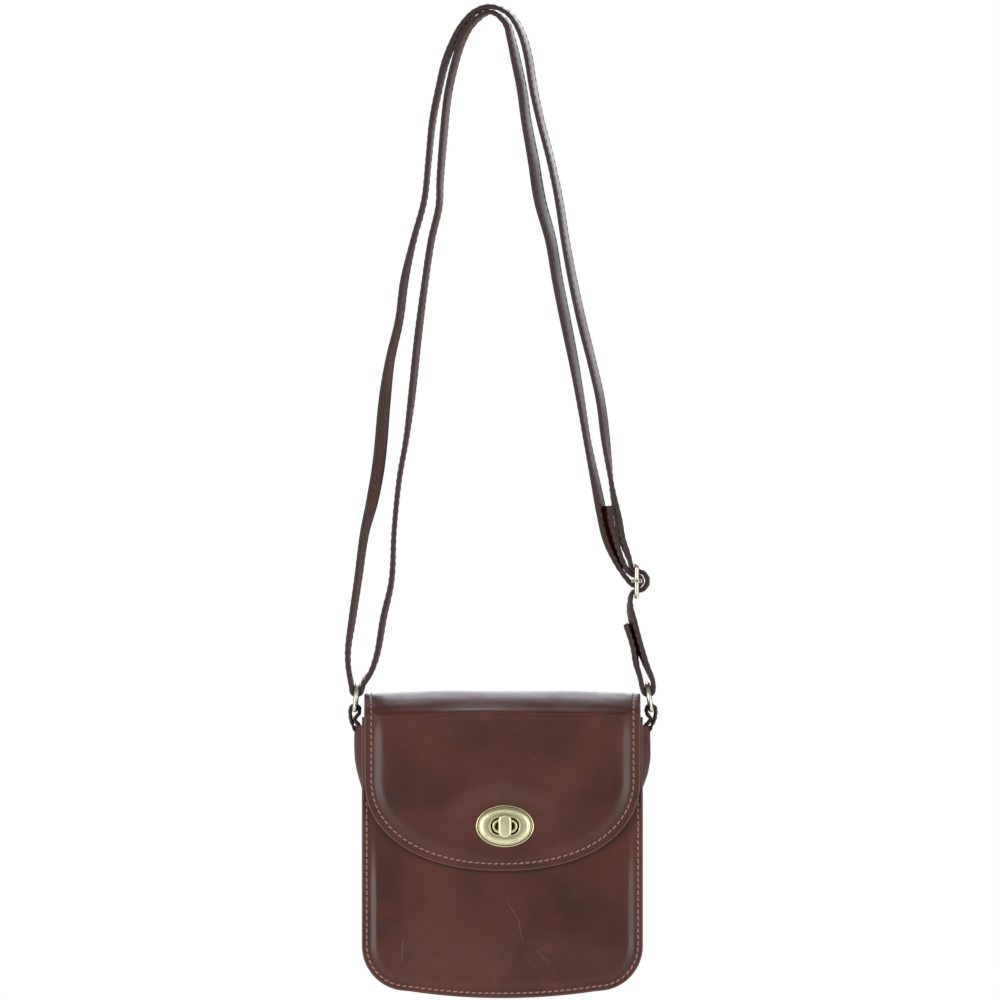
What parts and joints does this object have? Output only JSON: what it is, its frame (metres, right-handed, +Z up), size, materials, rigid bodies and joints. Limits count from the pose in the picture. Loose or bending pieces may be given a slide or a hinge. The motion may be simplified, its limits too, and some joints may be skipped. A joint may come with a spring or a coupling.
{
  "type": "crossbody purse",
  "caption": "Small leather crossbody purse with a stitched front flap, an oval turn lock, D-rings on gusset tabs and a long doubled, adjustable shoulder strap.",
  "frame": {"origin": "underside of the strap at the top of its arch, the point where the purse hangs from a hook", "axes": "+Z up, the way it hangs; -Y is the bag's front, where the turn lock is; +X is to the right seen from the front"},
  "size_m": [0.1724, 0.051, 0.5486],
  "materials": {
    "panel_leather": "polished full-grain, pull-up",
    "gusset_leather": "satin",
    "strap_leather": "satin",
    "strap_backing": "satin",
    "lining_cloth": "woven",
    "antique_brass": "antiqued",
    "old_nickel": "antiqued plating",
    "steel": "plain plated"
  },
  "bodies": {
    "strap": {"strap_outer_face": "strap_leather", "strap_outer_backing": "strap_backing", "strap_inner_face": "strap_leather", "strap_inner_backing": "strap_backing", "strap_tail": "strap_leather", "strap_loop_left": "strap_leather", "strap_loop_right": "strap_leather"},
    "slider": {"slider_frame": "old_nickel", "slider_bar": "old_nickel"},
    "bag": {"front_panel": "panel_leather", "back_panel": "panel_leather", "gusset": "gusset_leather", "lining_front": "lining_cloth", "lining_back": "lining_cloth", "lining_gusset": "lining_cloth", "tab_left": "gusset_leather", "tab_right": "gusset_leather", "ring_left": "old_nickel", "ring_right": "old_nickel", "lock_base": "antique_brass", "lock_base_washer": "steel", "lock_spring": "steel"},
    "flap_top": {"flap_roof": "panel_leather", "flap_roof_lining": "lining_cloth"},
    "flap_leaf": {"flap_front": "panel_leather", "flap_front_lining": "lining_cloth", "lock_plate": "antique_brass", "lock_plate_washer": "steel"},
    "toggle": {"lock_toggle": "antique_brass"}
  },
  "joints": [
    {"name": "bag_swing", "type": "hinge", "parent": "strap", "child": "bag", "pos_m": [0, 0, -0.3792], "axis": [1, 0, 0], "range_deg": [-20, 20]},
    {"name": "flap_hinge", "type": "hinge", "parent": "bag", "child": "flap_top", "pos_m": [0, 0.019, -0.3815], "axis": [-1, 0, 0], "range_deg": [0, 120], "deforming": ["strap_outer_face", "strap_outer_backing", "strap_inner_face", "strap_inner_backing", "strap_tail", "slider_frame", "slider_bar"]},
    {"name": "flap_crease", "type": "hinge", "parent": "flap_top", "child": "flap_leaf", "pos_m": [0, -0.0229, -0.385], "axis": [-1, 0, 0], "range_deg": [0, 75]},
    {"name": "toggle_turn", "type": "hinge", "parent": "bag", "child": "toggle", "pos_m": [0.0082, 0, -0.448], "axis": [0, 1, 0], "range_deg": [0, 90]},
    {"name": "slider_slide", "type": "slide", "parent": "strap", "child": "slider", "axis": [0.25, 0, -0.9682], "range_m": [-0.025, 0.02]}
  ],
  "couplings": [
    {"joint": "flap_crease", "follows": "flap_hinge", "ratio": 0.6}
  ]
}
